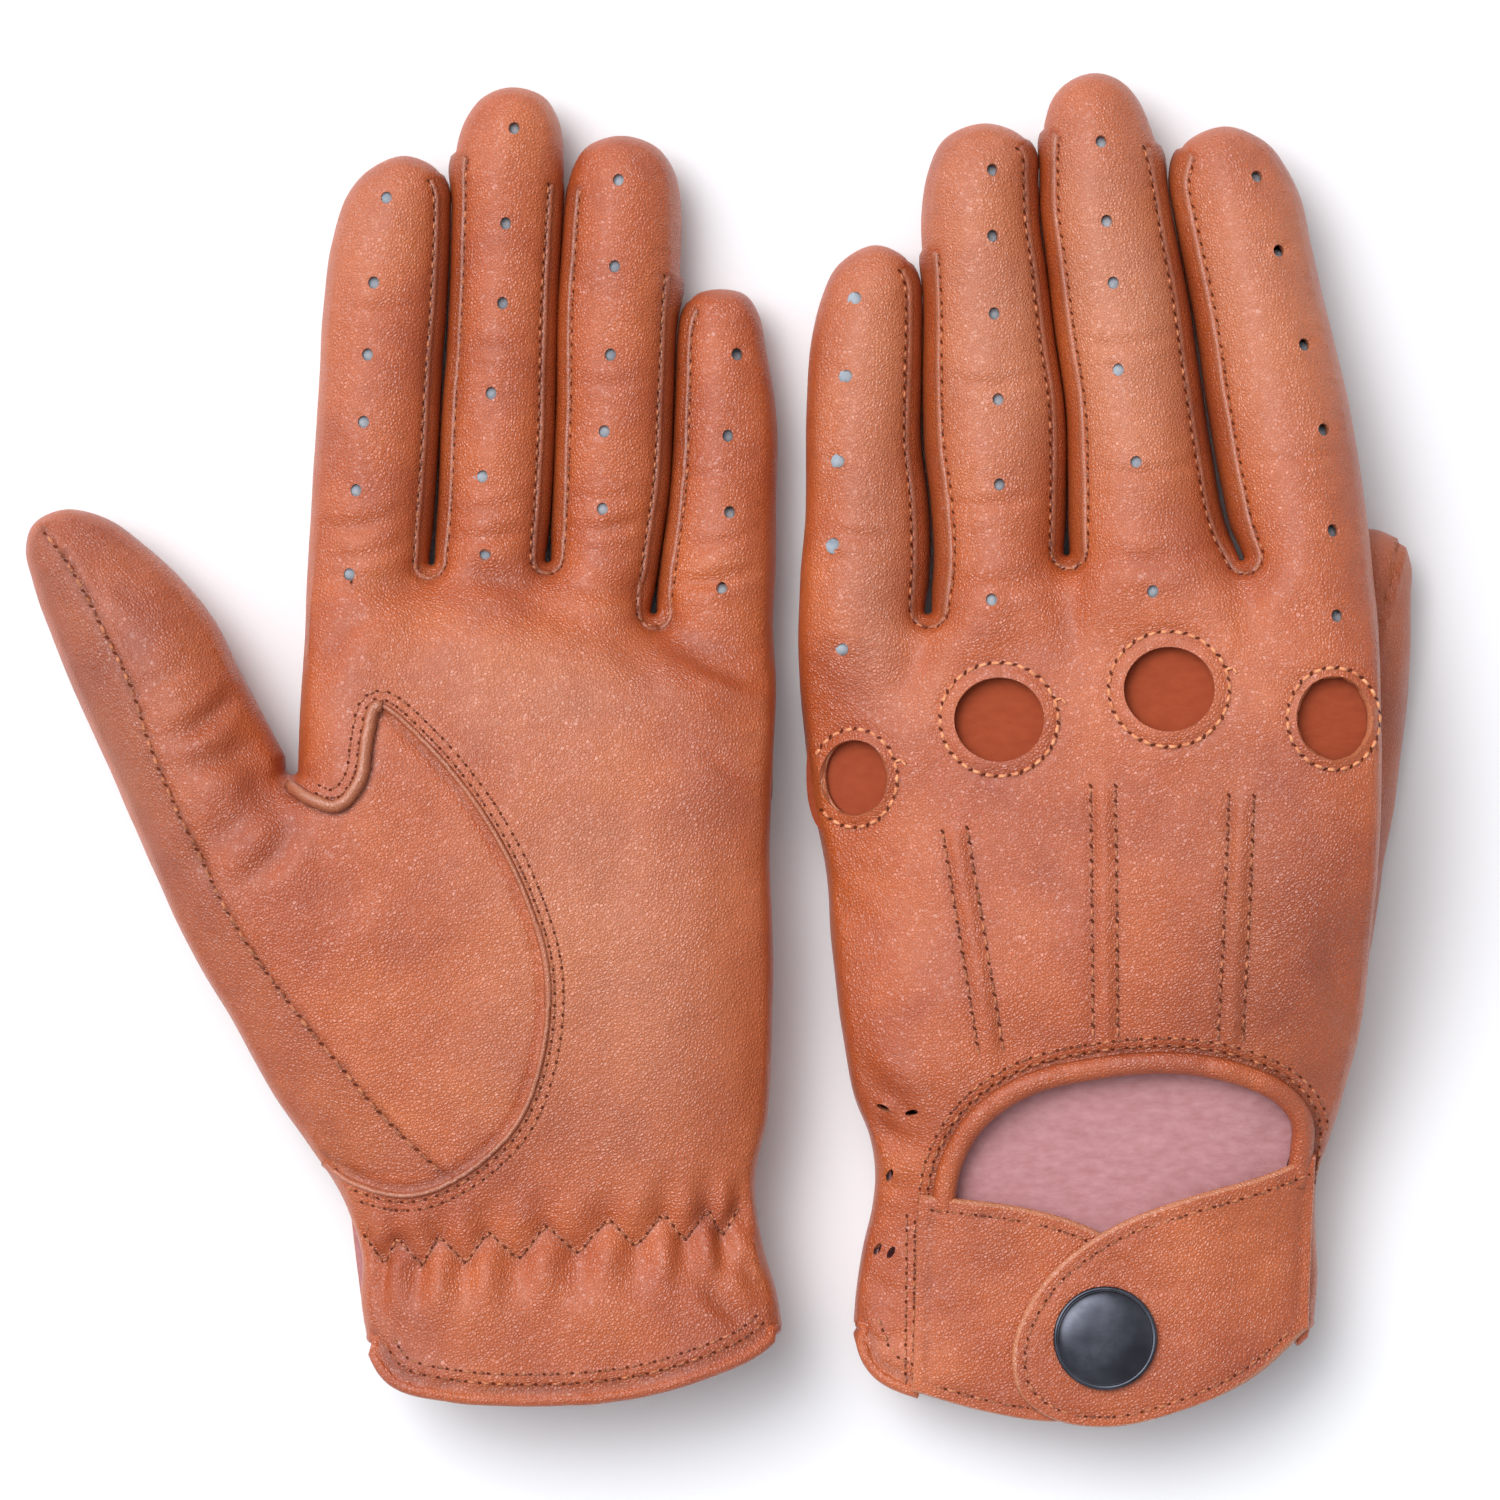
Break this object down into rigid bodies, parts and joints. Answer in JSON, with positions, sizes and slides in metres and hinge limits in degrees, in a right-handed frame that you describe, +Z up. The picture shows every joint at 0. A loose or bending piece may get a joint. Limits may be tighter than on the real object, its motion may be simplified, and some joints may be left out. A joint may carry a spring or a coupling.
{
  "type": "pair of leather driving gloves",
  "caption": "Short leather driving gloves with knuckle holes, vented fingers, an elastic wrist and a snap strap over a wrist opening, lying flat with palm and back shown.",
  "frame": {"origin": "centre of the pair's bounding box, on the surface that the gloves lie on", "axes": "+Y towards the fingertips, +X from the palm-up glove to the back-up glove, +Z up"},
  "size_m": [0.2294, 0.2229, 0.0313],
  "materials": {
    "tan_leather": "satin",
    "edge_leather": "matte",
    "suede_inside": "matte",
    "thread": "matte",
    "elastic": "matte",
    "snap_metal": "satin"
  },
  "bodies": {
    "glove_a_hand": {"glove_a_hand_back": "tan_leather", "glove_a_hand_palm": "tan_leather", "glove_a_thumb_gusset": "tan_leather", "glove_a_thumb_welt": "edge_leather", "glove_a_opening_binding": "edge_leather", "glove_a_cuff_hem": "edge_leather", "glove_a_wrist_elastic": "elastic", "glove_a_knuckle_rings": "edge_leather", "glove_a_back_ridges": "tan_leather", "glove_a_strap_base": "tan_leather", "glove_a_snap_post": "snap_metal", "glove_a_snap_stud": "snap_metal"},
    "glove_a_strap": {"glove_a_strap_tab": "tan_leather", "glove_a_snap_cap": "snap_metal", "glove_a_snap_socket": "snap_metal"},
    "glove_a_thumb": {"glove_a_thumb_back": "tan_leather", "glove_a_thumb_front": "tan_leather"},
    "glove_a_index": {"glove_a_index_back": "tan_leather", "glove_a_index_front": "tan_leather", "glove_a_index_fourchette": "edge_leather"},
    "glove_a_middle": {"glove_a_middle_back": "tan_leather", "glove_a_middle_front": "tan_leather", "glove_a_middle_fourchettes": "edge_leather"},
    "glove_a_ring": {"glove_a_ring_back": "tan_leather", "glove_a_ring_front": "tan_leather", "glove_a_ring_fourchettes": "edge_leather"},
    "glove_a_little": {"glove_a_little_back": "tan_leather", "glove_a_little_front": "tan_leather", "glove_a_little_fourchette": "edge_leather"},
    "glove_b_hand": {"glove_b_hand_back": "tan_leather", "glove_b_hand_palm": "tan_leather", "glove_b_thumb_gusset": "tan_leather", "glove_b_thumb_welt": "edge_leather", "glove_b_opening_binding": "edge_leather", "glove_b_cuff_hem": "edge_leather", "glove_b_wrist_elastic": "elastic", "glove_b_knuckle_rings": "edge_leather", "glove_b_back_ridges": "tan_leather", "glove_b_strap_base": "tan_leather", "glove_b_snap_post": "snap_metal", "glove_b_snap_stud": "snap_metal"},
    "glove_b_strap": {"glove_b_strap_tab": "tan_leather", "glove_b_snap_cap": "snap_metal", "glove_b_snap_socket": "snap_metal"},
    "glove_b_thumb": {"glove_b_thumb_back": "tan_leather", "glove_b_thumb_front": "tan_leather"},
    "glove_b_index": {"glove_b_index_back": "tan_leather", "glove_b_index_front": "tan_leather", "glove_b_index_fourchette": "edge_leather"},
    "glove_b_middle": {"glove_b_middle_back": "tan_leather", "glove_b_middle_front": "tan_leather", "glove_b_middle_fourchettes": "edge_leather"},
    "glove_b_ring": {"glove_b_ring_back": "tan_leather", "glove_b_ring_front": "tan_leather", "glove_b_ring_fourchettes": "edge_leather"},
    "glove_b_little": {"glove_b_little_back": "tan_leather", "glove_b_little_front": "tan_leather", "glove_b_little_fourchette": "edge_leather"}
  },
  "joints": [
    {"name": "glove_b_lift", "type": "slide", "parent": "glove_a_hand", "child": "glove_b_hand", "axis": [0, 0, 1], "range_m": [0, 0.15]},
    {"name": "glove_a_index_bend", "type": "hinge", "parent": "glove_a_hand", "child": "glove_a_index", "pos_m": [-0.0572, 0.0395, 0.0097], "axis": [0.9972, -0.0745, 0], "range_deg": [0, 75]},
    {"name": "glove_a_middle_bend", "type": "hinge", "parent": "glove_a_hand", "child": "glove_a_middle", "pos_m": [-0.0375, 0.0398, 0.0093], "axis": [0.9989, -0.0465, 0], "range_deg": [0, 75]},
    {"name": "glove_a_ring_bend", "type": "hinge", "parent": "glove_a_hand", "child": "glove_a_ring", "pos_m": [-0.0185, 0.0384, 0.0091], "axis": [0.9991, -0.0435, 0], "range_deg": [0, 75]},
    {"name": "glove_a_little_bend", "type": "hinge", "parent": "glove_a_hand", "child": "glove_a_little", "pos_m": [0.0002, 0.0288, 0.0089], "axis": [0.9999, -0.0104, 0], "range_deg": [0, 75]},
    {"name": "glove_a_thumb_bend", "type": "hinge", "parent": "glove_a_hand", "child": "glove_a_thumb", "pos_m": [-0.0882, -0.0012, 0.0122], "axis": [0.8724, 0.4888, 0], "range_deg": [0, 40]},
    {"name": "glove_a_strap_open", "type": "hinge", "parent": "glove_a_hand", "child": "glove_a_strap", "pos_m": [-0.0615, -0.084, 0.0055], "axis": [0, 1, 0], "range_deg": [0, 105]},
    {"name": "glove_b_index_bend", "type": "hinge", "parent": "glove_b_hand", "child": "glove_b_index", "pos_m": [0.0948, 0.0402, 0.0176], "axis": [0.9806, 0.1961, 0], "range_deg": [0, 60]},
    {"name": "glove_b_middle_bend", "type": "hinge", "parent": "glove_b_hand", "child": "glove_b_middle", "pos_m": [0.0699, 0.0414, 0.0152], "axis": [0.9932, 0.1162, 0], "range_deg": [0, 60]},
    {"name": "glove_b_ring_bend", "type": "hinge", "parent": "glove_b_hand", "child": "glove_b_ring", "pos_m": [0.0451, 0.0394, 0.0122], "axis": [0.9996, 0.0277, 0], "range_deg": [0, 60]},
    {"name": "glove_b_little_bend", "type": "hinge", "parent": "glove_b_hand", "child": "glove_b_little", "pos_m": [0.0235, 0.0294, 0.0098], "axis": [0.9992, -0.0402, 0], "range_deg": [0, 60]},
    {"name": "glove_b_thumb_swing", "type": "hinge", "parent": "glove_b_hand", "child": "glove_b_thumb", "pos_m": [0.1018, -0.0176, 0.0073], "axis": [0, 0, -1], "range_deg": [0, 45]},
    {"name": "glove_b_strap_open", "type": "hinge", "parent": "glove_b_hand", "child": "glove_b_strap", "pos_m": [0.0967, -0.084, 0.0165], "axis": [0, 1, 0], "range_deg": [0, 105]}
  ]
}
